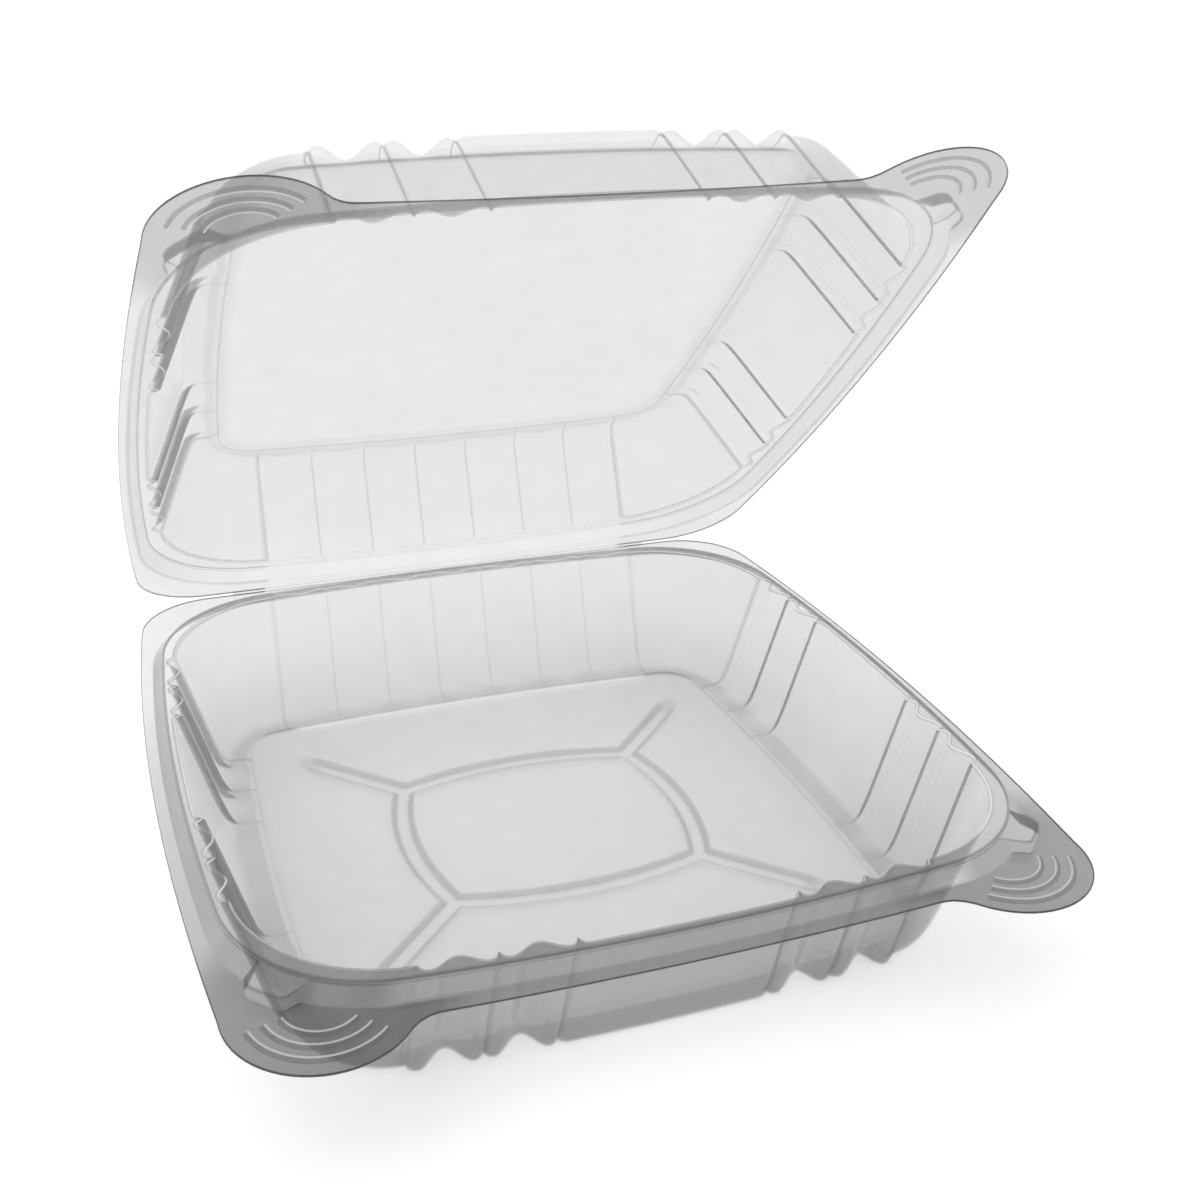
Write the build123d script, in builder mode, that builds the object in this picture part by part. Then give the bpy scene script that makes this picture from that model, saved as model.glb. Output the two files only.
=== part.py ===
from build123d import *
from math import cos, radians, sin
import os

# Overall sizes, mm. X is across the pack, +Y is the hinge side, Z is up, z = 0 is the foot ring.
width = 208.0
depth = 207.0
tray_height = 32.2
lid_height = 33.4
sheet = 0.4
side_bow = 6.3
lid_open = 45.0

# Rim: flange, riser and ledge, measured inward from the outer outline.
flange_width = 3.0
riser_lean = 2.4
ledge_rise = 4.0
riser_corner = 38.0
rear_corner = 22.0
nest_gap = 0.3

# Pull tabs at the two front corners.
tab_radius = 20.2
tab_setback = 11.5
lid_tab_reach = 3.0
tab_front_angle = -29.0
tab_blend = 8.0
ridge_radii = (9.0, 12.5, 16.0)
ridge_width = 1.3
ridge_height = 0.5
ridge_lead = 75.0
ridge_sweep = 120.0
ridge_facets = 4

# Corner locks that stand out diagonally from the riser.
lock_width = 13.0
lock_length = 12.0
lock_drop = 0.9
lock_setback = 8.7
lock_corner = 3.5

# Living hinge.
hinge_strip = 2.1
bead_radius = 0.6
bead_gap = 0.15
hinge_half = 70.0

# Waved wall: inset from the outer outline at the ledge, the knee and the foot, and the waves.
ledge_inset = 7.6
knee_inset = 17.6
foot_inset = 20.0
wave_depth = 3.2
notch_depth = 2.2
knee_height = 5.0
run_share = 0.57
flat_share = 0.43
rear_waves = 7
tip_share = 0.1
lobe_share = 0.22
flank_share = 0.67
corner_facets = 6

# Central panel of the floor and of the lid's top.
panel_inset = 29.5
panel_corner = 10.0
panel_bow = 3.0
panel_step = 1.2

# Floor emboss: a barrel-shaped ring with four arms.
ring_half_x = 33.8
ring_half_y = 27.0
ring_bow = 5.0
ring_facets = 4
channel_width = 5.0
channel_rise = 0.8
arm_half_x = 56.0
arm_half_y = 48.5

# Values worked out from the sizes above.
half_width = width / 2
half_depth = depth / 2
flange_z = tray_height
hinge_y = half_depth + hinge_strip
hinge_z = flange_z + sheet + nest_gap / 2
lid_z = flange_z + sheet + nest_gap
over = 1.0


def bow_at(distance, half):
    """How far a side has bowed inward at a distance from its middle."""
    return side_bow * (distance / half) ** 2


def bowed_square(inset, bow):
    """Draw four bowed sides that meet at corner points."""
    half_x = half_width - inset
    half_y = half_depth - inset
    corner_x = half_x - bow
    corner_y = half_y - bow
    ThreePointArc((-corner_x, -corner_y), (0, -half_y), (corner_x, -corner_y))
    ThreePointArc((corner_x, -corner_y), (half_x, 0), (corner_x, corner_y))
    ThreePointArc((corner_x, corner_y), (0, half_y), (-corner_x, corner_y))
    ThreePointArc((-corner_x, corner_y), (-half_x, 0), (-corner_x, -corner_y))


def tab_centre(reach):
    """Centre of the right pull tab's round outline."""
    y = -(half_depth - tab_setback) - reach
    x = half_width - bow_at(y, half_depth) - tab_radius
    return x, y


def flange_outline(reach, rear_y):
    """Draw the outer outline: straight rear edge, bowed sides and front, two round tabs."""
    tab_x, tab_y = tab_centre(reach)
    side_x = tab_x + tab_radius
    rear_x = half_width - bow_at(rear_y, half_depth)
    front_x = tab_x - tab_radius * cos(radians(tab_front_angle))
    front_y = tab_y + tab_radius * sin(radians(tab_front_angle))
    ThreePointArc((-front_x, front_y), (0, -half_depth), (front_x, front_y))
    ThreePointArc((front_x, front_y), (tab_x, tab_y - tab_radius), (side_x, tab_y))
    ThreePointArc((side_x, tab_y), (half_width, 0), (rear_x, rear_y))
    Line((rear_x, rear_y), (-rear_x, rear_y))
    ThreePointArc((-rear_x, rear_y), (-half_width, 0), (-side_x, tab_y))
    ThreePointArc((-side_x, tab_y), (-tab_x, tab_y - tab_radius), (-front_x, front_y))


def turned(turns, x, y):
    """A point of the front side turned by quarters to another side."""
    for quarter in range(turns):
        x, y = -y, x
    return x, y


def on_wall(turns, along, inward, inset):
    """Point on one of the four walls."""
    half = (half_depth if turns % 2 == 0 else half_width) - inset
    out = half - bow_at(along, half_width) - inward
    return turned(turns, along, -out)


def wave(turns, start, end, inset):
    """One wave between two notches: lobe, flat-bottomed scallop, lobe."""
    pitch = end - start
    tip = tip_share * pitch
    lobe = lobe_share * pitch
    flank = flank_share * (pitch / 2 - lobe)
    Polyline(
        on_wall(turns, start, notch_depth, inset),
        on_wall(turns, start + tip, 0, inset),
        on_wall(turns, start + lobe, 0, inset),
        on_wall(turns, start + lobe + flank, wave_depth, inset),
        on_wall(turns, end - lobe - flank, wave_depth, inset),
        on_wall(turns, end - lobe, 0, inset),
        on_wall(turns, end - tip, 0, inset),
        on_wall(turns, end, notch_depth, inset),
    )


def flat_panel(turns, half_length, pitch, inset):
    """The plain middle of a wall between its two innermost notches."""
    tip = half_length - tip_share * pitch
    Line(on_wall(turns, -half_length, notch_depth, inset), on_wall(turns, -tip, 0, inset))
    ThreePointArc(
        on_wall(turns, -tip, 0, inset), on_wall(turns, 0, 0, inset), on_wall(turns, tip, 0, inset)
    )
    Line(on_wall(turns, tip, 0, inset), on_wall(turns, half_length, notch_depth, inset))


def wall_corner(turns, run, inset):
    """Recessed corner of straight facets from the end of one wall to the start of the next."""
    start = Vector(*on_wall(turns, run, notch_depth, inset))
    end = Vector(*on_wall((turns + 1) % 4, -run, notch_depth, inset))
    chord = end - start
    sweep = radians(90) - 4 * bow_at(run, half_width) / run
    radius = chord.length / 2 / sin(sweep / 2)
    outward = Vector(chord.Y, -chord.X).normalized()
    along = chord.normalized()
    centre = (start + end) / 2 - outward * (radius * cos(sweep / 2))
    points = []
    for step in range(corner_facets + 1):
        angle = sweep * (step / corner_facets - 1 / 2)
        points.append(centre + outward * (radius * cos(angle)) + along * (radius * sin(angle)))
    Polyline(*points)


def waved_ring(inset):
    """Draw one closed outline of the waved wall."""
    run = run_share * half_width
    flat = flat_share * run
    pitch = (run - flat) / 2
    for turns in range(4):
        if turns == 2:
            step = 2 * run / rear_waves
            for index in range(rear_waves):
                wave(turns, index * step - run, (index + 1) * step - run, inset)
        else:
            wave(turns, -run, -flat - pitch, inset)
            wave(turns, -flat - pitch, -flat, inset)
            flat_panel(turns, flat, pitch, inset)
            wave(turns, flat, flat + pitch, inset)
            wave(turns, flat + pitch, run, inset)
        wall_corner(turns, run, inset)


def waved_solid(rings):
    """Ruled solid through waved rings given as (height, inset)."""
    with BuildPart() as solid:
        for height, inset in rings:
            with BuildSketch(Plane.XY.offset(height)):
                with BuildLine():
                    waved_ring(inset)
                make_face()
        loft(ruled=True)
    return solid.part


def panel_prism(bottom, top, inset):
    """Straight prism on the outline of the central panel."""
    with BuildPart() as prism:
        with BuildSketch(Plane.XY.offset(bottom)) as outline:
            with BuildLine():
                bowed_square(inset, panel_bow)
            make_face()
            fillet(outline.vertices(), panel_corner)
        extrude(amount=top - bottom)
    return prism.part


def riser_solid(bottom, top, inset):
    """Leaning block inside the flange, used for the riser's outer face and for its hollow."""
    with BuildPart() as block:
        for height, lean in ((bottom, 0), (top, riser_lean)):
            with BuildSketch(Plane.XY.offset(height)) as outline:
                with BuildLine():
                    bowed_square(inset + lean, side_bow)
                make_face()
                fillet(outline.vertices(), riser_corner)
        loft(ruled=True)
    return block.part


def lock_solid(bottom, top, grow):
    """Two blocks set diagonally at the riser's front corners."""
    inset = flange_width + side_bow + lock_setback
    length = lock_length + 2 * grow
    across = lock_width + 2 * grow
    with BuildPart() as blocks:
        with BuildSketch(Plane.XY.offset(bottom)):
            for side in (-1, 1):
                with Locations((side * (half_width - inset), inset - half_depth)):
                    RectangleRounded(length, across, lock_corner + grow, rotation=-45 * side)
        extrude(amount=top - bottom)
    return blocks.part


def ridge_solid(bottom, top, reach):
    """Bars of straight facets on the two tabs, concentric with the tab's outline."""
    tab_x, tab_y = tab_centre(reach)
    with BuildPart() as bars:
        with BuildSketch(Plane.XY.offset(bottom)):
            for side in (-1, 1):
                for radius in ridge_radii:
                    outer = []
                    inner = []
                    for step in range(ridge_facets + 1):
                        angle = radians(ridge_lead - ridge_sweep * step / ridge_facets)
                        x, y = side * sin(angle), -cos(angle)
                        outer.append((side * tab_x + (radius + ridge_width / 2) * x,
                                      tab_y + (radius + ridge_width / 2) * y))
                        inner.append((side * tab_x + (radius - ridge_width / 2) * x,
                                      tab_y + (radius - ridge_width / 2) * y))
                    with BuildLine():
                        Polyline(*outer, *reversed(inner), close=True)
                    make_face()
        extrude(amount=top - bottom)
    return bars.part


def flange_plate(bottom, reach, rear_y):
    """Flat plate inside the outer outline."""
    with BuildPart() as plate:
        with BuildSketch(Plane.XY.offset(bottom)) as outline:
            with BuildLine():
                flange_outline(reach, rear_y)
            make_face()
            rear_points = outline.vertices().group_by(Axis.Y)[-1]
            fillet(rear_points, rear_corner)
            front_points = outline.vertices().sort_by(lambda point: abs(point.X))[:2]
            fillet(front_points, tab_blend)
        extrude(amount=sheet)
    return plate.part


def rim(bottom, grow, reach, rear_y):
    """Flange, riser, ledge and corner locks as one sheet; grow makes the lid fit over the tray."""
    inset = flange_width - grow
    ledge = bottom + ledge_rise
    with BuildPart() as sheet_rim:
        add(flange_plate(bottom, reach, rear_y))
        add(riser_solid(bottom, ledge + sheet, inset))
        add(lock_solid(bottom, ledge + sheet - lock_drop, grow))
        add(riser_solid(bottom - over, ledge, inset + sheet), mode=Mode.SUBTRACT)
        add(lock_solid(bottom - over, ledge - lock_drop, grow - sheet), mode=Mode.SUBTRACT)
    return sheet_rim.part


def barrel_line(half_x, half_y):
    """Draw the closed barrel shape of the floor's ring in straight facets."""
    points = []
    for turns in range(4):
        along, out = (half_x, half_y) if turns % 2 == 0 else (half_y, half_x)
        for step in range(ring_facets):
            share = 2 * step / ring_facets - 1
            points.append(turned(turns, along * share, -out - ring_bow * (1 - share ** 2)))
    Polyline(*points, close=True)


def emboss_solid(bottom, top, line_width):
    """Barrel-shaped ring with four arms."""
    with BuildPart() as emboss:
        with BuildSketch(Plane.XY.offset(bottom)):
            for half_line, mode in ((line_width / 2, Mode.ADD), (-line_width / 2, Mode.SUBTRACT)):
                with BuildLine():
                    barrel_line(ring_half_x + half_line, ring_half_y + half_line)
                make_face(mode=mode)
            for side in (-1, 1):
                for end in (-1, 1):
                    with BuildLine():
                        Line((side * ring_half_x, end * ring_half_y), (side * arm_half_x, end * arm_half_y))
                    trace(line_width=line_width)
        extrude(amount=top - bottom)
    return emboss.part


def hinge_bead():
    """Round bead of the living hinge, centred on the fold line."""
    with BuildPart() as bead:
        with BuildSketch(Plane.YZ.offset(-hinge_half)):
            with Locations((hinge_y, hinge_z)):
                Circle(bead_radius)
        extrude(amount=2 * hinge_half)
    return bead.part


tray_top = flange_z + ledge_rise + sheet
tray_outer = waved_solid((
    (0, foot_inset),
    (knee_height, knee_inset),
    (tray_top, ledge_inset),
))
tray_inner = waved_solid((
    (sheet, foot_inset + sheet),
    (knee_height + sheet / 2, knee_inset + sheet),
    (tray_top + over, ledge_inset + sheet),
))

with BuildPart() as base_tray:
    add(rim(flange_z, 0, 0, hinge_y))
    add(tray_outer)
    add(tray_inner, mode=Mode.SUBTRACT)
    add(panel_prism(0, panel_step + sheet, panel_inset - sheet))
    add(panel_prism(-over, panel_step, panel_inset), mode=Mode.SUBTRACT)
    add(emboss_solid(panel_step, panel_step + channel_rise + sheet, channel_width + 2 * sheet))
    add(emboss_solid(panel_step - over, panel_step + channel_rise, channel_width), mode=Mode.SUBTRACT)
    add(ridge_solid(flange_z - ridge_height, flange_z, 0))
    add(hinge_bead())

lid_top = lid_z + lid_height
lid_ledge = lid_z + ledge_rise
lid_outer = waved_solid((
    (lid_ledge, ledge_inset),
    (lid_top - knee_height, knee_inset),
    (lid_top, foot_inset),
))
lid_inner = waved_solid((
    (lid_ledge - over, ledge_inset + sheet),
    (lid_top - knee_height - sheet / 2, knee_inset + sheet),
    (lid_top - sheet, foot_inset + sheet),
))
lid_grow = sheet + nest_gap
lid_rear = hinge_y - bead_radius - bead_gap
lid_flange_top = lid_z + sheet

with BuildPart() as closed_lid:
    add(rim(lid_z, lid_grow, lid_tab_reach, lid_rear))
    add(lid_outer)
    add(lid_inner, mode=Mode.SUBTRACT)
    add(panel_prism(lid_top - sheet, lid_top + panel_step, panel_inset - sheet))
    add(panel_prism(lid_top - sheet - over, lid_top + panel_step - sheet, panel_inset), mode=Mode.SUBTRACT)
    add(ridge_solid(lid_flange_top, lid_flange_top + ridge_height, lid_tab_reach))

hinge_axis = Axis((0, hinge_y, hinge_z), (1, 0, 0))
with BuildPart() as lid:
    add(closed_lid.part.rotate(hinge_axis, -lid_open))

base_tray.part.label = "base_tray"
lid.part.label = "lid"

os.makedirs("parts", exist_ok=True)
export_step(base_tray.part, "parts/base_tray.step")
export_step(lid.part, "parts/lid.step")
for piece in (base_tray.part, lid.part):
    print(piece.label, piece.is_valid, len(piece.solids()), round(piece.volume), piece.bounding_box())
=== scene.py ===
import math

import bpy
import numpy as np
from mathutils import Matrix


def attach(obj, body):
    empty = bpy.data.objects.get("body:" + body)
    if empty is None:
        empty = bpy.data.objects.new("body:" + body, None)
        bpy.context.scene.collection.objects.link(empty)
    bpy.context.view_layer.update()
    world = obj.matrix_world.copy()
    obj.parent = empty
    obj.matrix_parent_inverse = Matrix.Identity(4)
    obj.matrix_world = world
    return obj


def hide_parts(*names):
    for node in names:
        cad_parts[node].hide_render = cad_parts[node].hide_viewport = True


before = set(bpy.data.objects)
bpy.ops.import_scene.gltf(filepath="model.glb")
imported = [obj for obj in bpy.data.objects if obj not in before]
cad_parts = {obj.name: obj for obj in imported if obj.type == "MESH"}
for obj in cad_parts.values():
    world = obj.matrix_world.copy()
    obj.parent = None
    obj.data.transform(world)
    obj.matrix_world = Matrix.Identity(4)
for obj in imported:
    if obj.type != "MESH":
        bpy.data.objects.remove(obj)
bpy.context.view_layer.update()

# Sizes shared with the CAD source, mm.
WIDTH = 208.0
DEPTH = 207.0
TRAY_HEIGHT = 32.2
LID_HEIGHT = 33.4
SHEET = 0.4
SIDE_BOW = 6.3
LID_OPEN = 45.0
FLANGE_WIDTH = 3.0
RISER_LEAN = 2.4
LEDGE_RISE = 4.0
RISER_CORNER = 38.0
REAR_CORNER = 22.0
NEST_GAP = 0.3
TAB_RADIUS = 20.2
TAB_SETBACK = 11.5
LID_TAB_REACH = 3.0
TAB_FRONT_ANGLE = -29.0
TAB_BLEND = 8.0
LOCK_WIDTH = 13.0
LOCK_LENGTH = 12.0
LOCK_DROP = 0.9
LOCK_SETBACK = 8.7
LOCK_CORNER = 3.5
HINGE_STRIP = 2.1
BEAD_RADIUS = 0.6
BEAD_GAP = 0.15
HINGE_HALF = 70.0
LEDGE_INSET = 7.6
KNEE_INSET = 17.6
FOOT_INSET = 20.0
KNEE_HEIGHT = 5.0
RUN_SHARE = 0.57
FLAT_SHARE = 0.43
REAR_WAVES = 7
PANEL_INSET = 29.5
PANEL_CORNER = 10.0
PANEL_BOW = 3.0
PANEL_STEP = 1.2
RING_HALF_X = 33.8
RING_HALF_Y = 27.0
RING_BOW = 5.0
ARM_HALF_X = 56.0
ARM_HALF_Y = 48.5
RIDGE_RADII = (9.0, 12.5, 16.0)
RIDGE_HEIGHT = 0.5
RIDGE_LEAD = 75.0
RIDGE_SWEEP = 120.0

HALF_X = WIDTH / 2
HALF_Y = DEPTH / 2
HINGE_Y = HALF_Y + HINGE_STRIP
HINGE_Z = TRAY_HEIGHT + SHEET + NEST_GAP / 2
LID_Z = TRAY_HEIGHT + SHEET + NEST_GAP
LID_GROW = SHEET + NEST_GAP
RUN = RUN_SHARE * HALF_X
FLAT = FLAT_SHARE * RUN
PITCH = (RUN - FLAT) / 2
MM = 0.001

# Finer forms that only the scene has, mm, with the steps and shares along a grip bar.
LOCK_SPARE = 0.3
GROOVE_WIDTH = 6.4
GROOVE_DEPTH = 1.05
GROOVE_SLOPE = 1.7
RIDGE_BAR = 0.5
RIDGE_HALF = 0.42
RIDGE_STEPS = 40
RIDGE_TAPER = 6
TIP_RADIUS = 0.15
BAR_SIDES = 12
# Thin bars beside the grip ridges that carry a painted highlight, and the width of the strip of
# painted shade at the cut edge.
GLINT_OFFSET = -0.6
GLINT_BAR = 0.28
GLINT_HALF = 0.1
EDGE_SHADE_WIDTH = 0.35

# Shape of the waves, finer than in the CAD: sharp notches with a round scallop between them.
# The pairs are the depths of notch and scallop at each level of the wall.
TIP_SHARE = 0.13
TIP_SHARPNESS = 0.98
FALL_SHARE = 0.5
REAR_DEPTH = 0.6
LEDGE_WAVE = (2.0, 3.0)
KNEE_WAVE = (2.1, 3.1)
FOOT_WAVE = (2.2, 3.4)
FADE_WAVE = (0.5, 0.8)
FADE_INSET = PANEL_INSET - 2.6
FOOT_LIFT = 2.6
FADE_LIFT = 1.1
LOCK_SLOPE = 0.12
PANEL_LEAN = 0.7

# Bends of the sheet, counted from the cut edge, and the rings on the stretch before each.
BEND_RADII = (0, 0.6, 0.6, 0.5, 0.6, 0.8, 4.0, 2.6, 2.0, 1.1, 1.1)
STRETCH_SPLITS = (7, 1, 1, 1, 4, 7, 2, 3, 1, 1)
BEND_PLACES = (0.25, 0.5, 0.75)
BEND_REACH = 0.45
EDGE_REACH = 0.08
LEDGE_BEND = 5
FOOT_EDGE = 8.5
STEP_BEND = 9
PANEL_ZONE = 99.0

# Rings of the central panels, as distances from the groove's middle and as shares to the centre.
GROOVE_MARGIN = 4.0
GROOVE_RINGS = (
    3.4, 3.1, 2.7, 2.3, 1.9, 1.5, 0.6, -0.6, -1.5, -1.9, -2.3, -2.7, -3.1, -3.4, -4.0)
FLOOR_STEPS = 15
FLOOR_SHARES = (0.75, 0.5, 0.25)
TOP_SHARES = (0.96, 0.88, 0.76, 0.6, 0.42, 0.22)
BARREL_LIMIT = 80.0
BARREL_HALVINGS = 40

# Points on the outlines, and how far inside the wall the rays to them start.
SIDE_POINTS = 80
EDGE_POINTS = 90
TAB_POINTS = 70
REAR_POINTS = 60
LOCK_POINTS = 12
ROUND_POINTS = 26
RAY_START = 6
RAY_DEEP = 24
EDGE_SLACK = 1e-6
TINY = 1e-9
TINIEST = 1e-12
FAR = 1e9

# How strongly painted shade darkens lines and zones of the sheet, and over what lengths in mm.
# Below zero a zone is painted clearer, as painted light.
CREASE_FROM = 0.22
CREASE_SPAN = 1.3
CREASE_LENGTH = 0.6
REAR_LINE = 0.12
WALL_LINE = 0.35
PANEL_LINE = 0.15
NOTCH_LINE_FROM = 0.99
FRONT_PANEL = 0.3
SLOPE_SHADE = 0.3
SLOPE_FULL = 0.4
WALL_KEEP = 0.45
SHADE_REAR = 40
SHADE_LENGTH = 100
CORNER_FADE = 5
LOCK_TOP = 0.85
TAB_FAR = 34.0
TAB_FADE = 14.0
# Strengths of the painted shade on each line and zone of the tray and the lid; below zero a zone
# is painted lighter.
TRAY_LOOK = {
    "line": 1.0, "notch_shade": 0.4, "rear": 0.24, "panel": 0.0, "fringe": -0.35,
    "flange": 0.38, "tab": 0.42, "riser": 0.05, "side": 0.58, "lock": 0.5, "ledge": 0.35,
    "wall": 0.25, "front": 0.0, "corner": -0.1, "band": 0.0,
}
LID_LOOK = {
    "line": 0.7, "notch_shade": 0.45, "rear": 0.35, "panel": 0.35, "fringe": 0.0,
    "flange": 0.0, "tab": 0.32, "riser": 0.0, "side": 0.1, "lock": 0.18, "ledge": 0.1,
    "wall": 0.12, "front": -0.4, "corner": 0.0, "band": 0.1,
}

# Places round the wall: shares of half a wave, and steps on flat stretches and round corners.
WAVE_STEPS = (0.0, 0.015, 0.04, 0.08, 0.13, 0.18, 0.24, 0.31, 0.38, 0.44)
REAR_STEPS = (0.0, 0.015, 0.05, 0.13, 0.3)
FLAT_STEPS = 10
FRONT_CORNER_STEPS = 44
REAR_CORNER_STEPS = 24


def flat_places():
    """Places along the flat stretch between the lobes of a wall."""
    tips = [q * PITCH for q in WAVE_STEPS if q <= TIP_SHARE]
    end = FLAT - TIP_SHARE * PITCH
    inner = np.linspace(-end, end, FLAT_STEPS + 1)
    return [*(-FLAT + t for t in tips[:-1]), *inner, *(FLAT - t for t in reversed(tips[1:-1]))]


def samples_around():
    """Places round the wall: rows of wall, corner or not, distance or share, and wave place."""
    rows = []
    for turn in range(4):
        half = REAR_STEPS if turn == 2 else WAVE_STEPS
        steps = [*half, 0.5, *(1 - q for q in reversed(half[1:]))]
        if turn == 2:
            step = 2 * RUN / REAR_WAVES
            starts = [-RUN + k * step for k in range(REAR_WAVES)]
        else:
            step = PITCH
            starts = [-RUN, -FLAT - PITCH, None, FLAT, FLAT + PITCH]
        for start in starts:
            if start is None:
                for s in flat_places():
                    rows.append((turn, 0, s, min((FLAT - abs(s)) / PITCH, TIP_SHARE)))
            else:
                for q in steps:
                    rows.append((turn, 0, start + q * step, q))
        count = FRONT_CORNER_STEPS if turn in (0, 3) else REAR_CORNER_STEPS
        for k in range(count):
            rows.append((turn, 1, k / count, 0.0))
    return np.array(rows)


AROUND = samples_around()
COUNT = len(AROUND)
TURN = AROUND[:, 0].astype(int)
CORNER = AROUND[:, 1] > 0.5
PLACE = AROUND[:, 2]
PHASE = AROUND[:, 3]


def wave_parts():
    """Notch and scallop shares, 0 to 1, at every place round the wall."""
    q = np.minimum(PHASE, 1 - PHASE)
    tip = np.clip(1 - q / TIP_SHARE, 0, 1)
    notch = 1 - np.sqrt(1 - TIP_SHARPNESS * tip ** 2)
    notch = notch / (1 - math.sqrt(1 - TIP_SHARPNESS))
    fall = np.clip((q - TIP_SHARE) / (FALL_SHARE - TIP_SHARE), 0, 1)
    scallop = 0.5 - 0.5 * np.cos(math.pi * fall)
    shallow = np.where(TURN == 2, REAR_DEPTH, 1.0)
    notch = np.where(CORNER, 1.0, notch * shallow + 1 - shallow)
    scallop = np.where(CORNER, 0.0, scallop * shallow)
    return notch, scallop


NOTCH, SCALLOP = wave_parts()


def turned(turn, x, y):
    """A point of the front wall turned by quarters to another wall."""
    for quarter in range(turn):
        x, y = -y, x
    return x, y


def wall_point(turn, along, inward, inset):
    """Point on a wall, as in the CAD source."""
    half = (HALF_Y if turn % 2 == 0 else HALF_X) - inset
    return turned(turn, along, -(half - SIDE_BOW * (along / HALF_X) ** 2 - inward))


def wall_ring(inset, notch, scallop):
    """Plan of the wall at one inset, with the given depths of notch and scallop."""
    ring = np.zeros((COUNT, 2))
    for turn in range(4):
        here = (TURN == turn) & ~CORNER
        inward = notch * NOTCH[here] + scallop * SCALLOP[here]
        x, y = wall_point(turn, PLACE[here], inward, inset)
        ring[here, 0], ring[here, 1] = x, y
        start = np.array(wall_point(turn, RUN, notch, inset))
        end = np.array(wall_point((turn + 1) % 4, -RUN, notch, inset))
        chord = end - start
        length = np.hypot(*chord)
        sweep = math.radians(90) - 4 * SIDE_BOW * (RUN / HALF_X) ** 2 / RUN
        radius = length / 2 / math.sin(sweep / 2)
        out = np.array((chord[1], -chord[0])) / length
        along = chord / length
        centre = (start + end) / 2 - out * radius * math.cos(sweep / 2)
        here = (TURN == turn) & CORNER
        angle = sweep * (PLACE[here] - 0.5)
        spoke = np.cos(angle)[:, None] * out + np.sin(angle)[:, None] * along
        ring[here] = centre + radius * spoke
    return ring


def arc_through(a, b, c, count):
    """Points of the circle arc from a through b to c."""
    a, b, c = (np.array(p, float) for p in (a, b, c))
    left = np.array((b - a, c - a))
    right = np.array((b @ b - a @ a, c @ c - a @ a)) / 2
    centre = np.linalg.solve(left, right)
    spins = [math.atan2(*(p - centre)[::-1]) for p in (a, b, c)]
    mid = (spins[1] - spins[0]) % (2 * math.pi)
    full = (spins[2] - spins[0]) % (2 * math.pi)
    if mid > full:
        full -= 2 * math.pi
    angles = spins[0] + full * np.linspace(0, 1, count)
    return centre + np.hypot(*(a - centre)) * np.stack((np.cos(angles), np.sin(angles)), 1)


def closed_outline(sides, radii):
    """Closed line of dense sides, with the corner after each side rounded by its radius."""
    trims = []
    for k, radius in enumerate(radii):
        a, b = sides[k], sides[(k + 1) % len(sides)]
        if radius == 0:
            trims.append(None)
            continue
        back = a[-2] - a[-1]
        ahead = b[1] - b[0]
        angle = math.acos(np.clip(back @ ahead / np.hypot(*back) / np.hypot(*ahead), -1, 1))
        trims.append((radius / math.tan(angle / 2), math.sin(angle / 2)))
    pieces = []
    for k, side in enumerate(sides):
        before, after = trims[k - 1], trims[k]
        travel = np.concatenate(((0,), np.cumsum(np.hypot(*np.diff(side, axis=0).T))))
        low = before[0] if before else 0
        high = travel[-1] - (after[0] if after else 0)
        spots = np.linspace(low, high, len(side))
        line = np.stack([np.interp(spots, travel, side[:, axis]) for axis in (0, 1)], 1)
        pieces.append(line)
        if after:
            nxt = sides[(k + 1) % len(sides)]
            run = np.concatenate(((0,), np.cumsum(np.hypot(*np.diff(nxt, axis=0).T))))
            end = np.array([np.interp(after[0], run, nxt[:, axis]) for axis in (0, 1)])
            t = np.linspace(0, 1, ROUND_POINTS)[1:-1, None]
            weight = after[1]
            top = (1 - t) ** 2 * line[-1] + 2 * t * (1 - t) * weight * side[-1] + t ** 2 * end
            pieces.append(top / ((1 - t) ** 2 + 2 * t * (1 - t) * weight + t ** 2))
    return np.concatenate(pieces)


def bowed_outline(inset, bow, corner):
    """Four bowed sides with round corners."""
    half_x, half_y = HALF_X - inset, HALF_Y - inset
    x, y = half_x - bow, half_y - bow
    sides = [
        arc_through((-x, -y), (0, -half_y), (x, -y), SIDE_POINTS),
        arc_through((x, -y), (half_x, 0), (x, y), SIDE_POINTS),
        arc_through((x, y), (0, half_y), (-x, y), SIDE_POINTS),
        arc_through((-x, y), (-half_x, 0), (-x, -y), SIDE_POINTS),
    ]
    return closed_outline(sides, (corner,) * 4)


def tab_centre(reach):
    """Centre of the right pull tab."""
    y = -(HALF_Y - TAB_SETBACK) - reach
    return HALF_X - SIDE_BOW * (y / HALF_Y) ** 2 - TAB_RADIUS, y


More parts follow.
